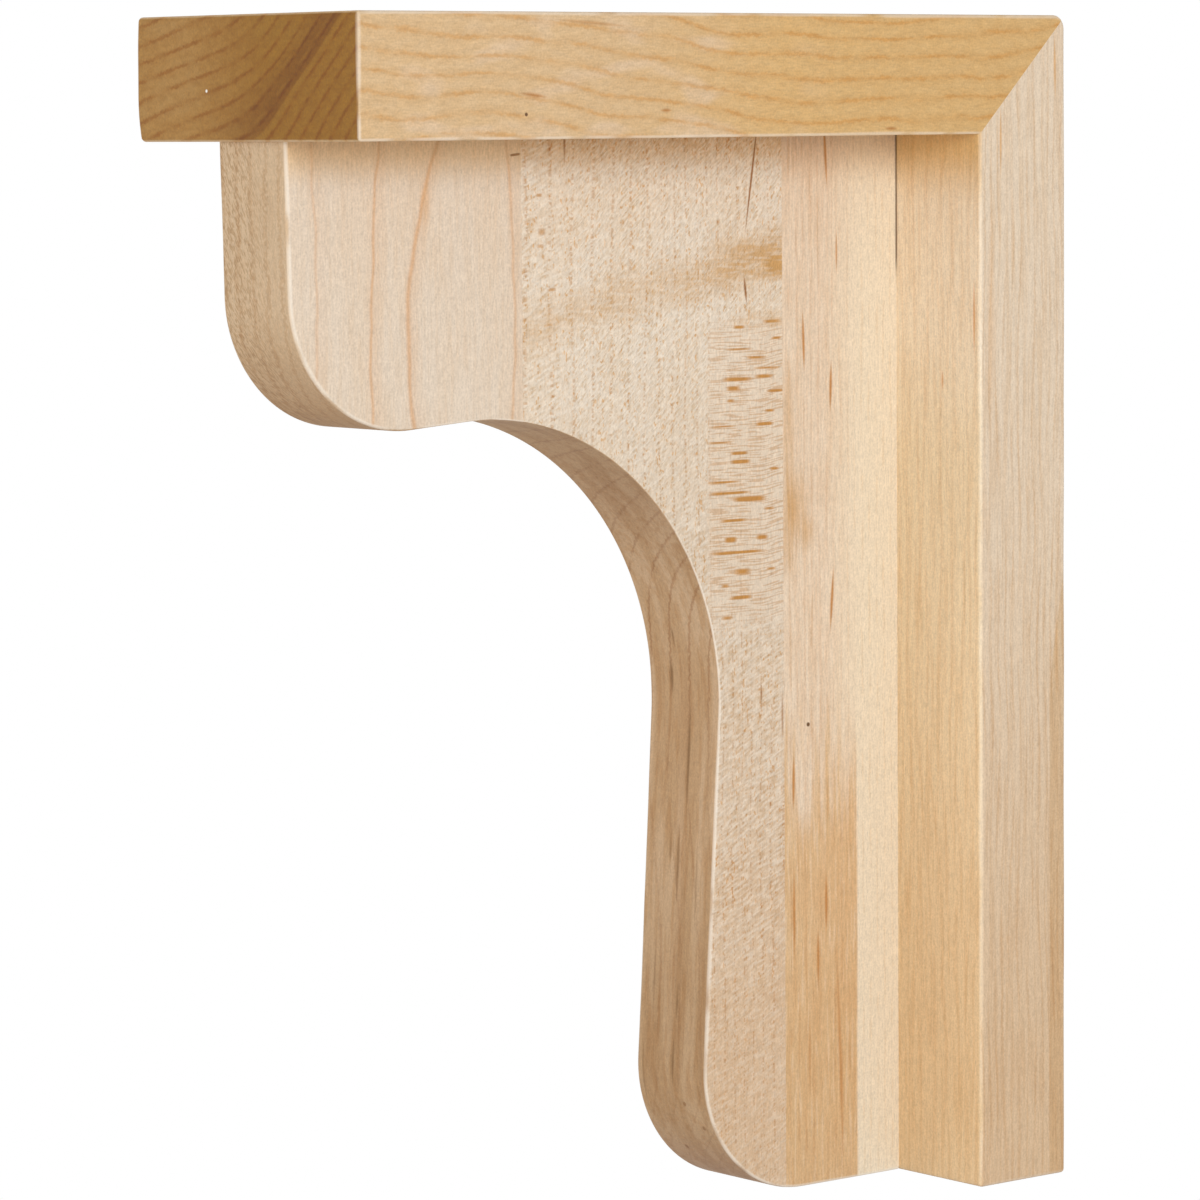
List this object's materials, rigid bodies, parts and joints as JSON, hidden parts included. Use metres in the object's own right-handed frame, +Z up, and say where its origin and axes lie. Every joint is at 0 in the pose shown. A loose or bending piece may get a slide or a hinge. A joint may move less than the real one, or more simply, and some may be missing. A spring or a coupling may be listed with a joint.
{
  "type": "wooden corbel bracket",
  "caption": "Solid wood corbel bracket: mitred shelf board and wall board with a slimmer sawn web between them that has a rounded nose, a cove and a rounded foot.",
  "frame": {"origin": "middle of the flat face that lies against the wall", "axes": "+Y points into the wall, +Z is up, X runs across the bracket; the shelf stands out towards -Y"},
  "size_m": [0.0762, 0.1905, 0.254],
  "materials": {
    "top_board": "sanded bare maple, golden, plain sawn",
    "back_board": "sanded bare maple, warm straw, straight grained",
    "nose_strip": "sanded bare maple, pale pinkish cream, plain sawn",
    "middle_strip": "sanded bare maple, cream, quarter sawn with fleck",
    "rear_strip": "sanded bare maple, tan heartwood streaks into pale sapwood"
  },
  "bodies": {
    "root": {"top_board": "top_board", "back_board": "back_board", "nose_strip": "nose_strip", "middle_strip": "middle_strip", "rear_strip": "rear_strip"}
  },
  "joints": []
}
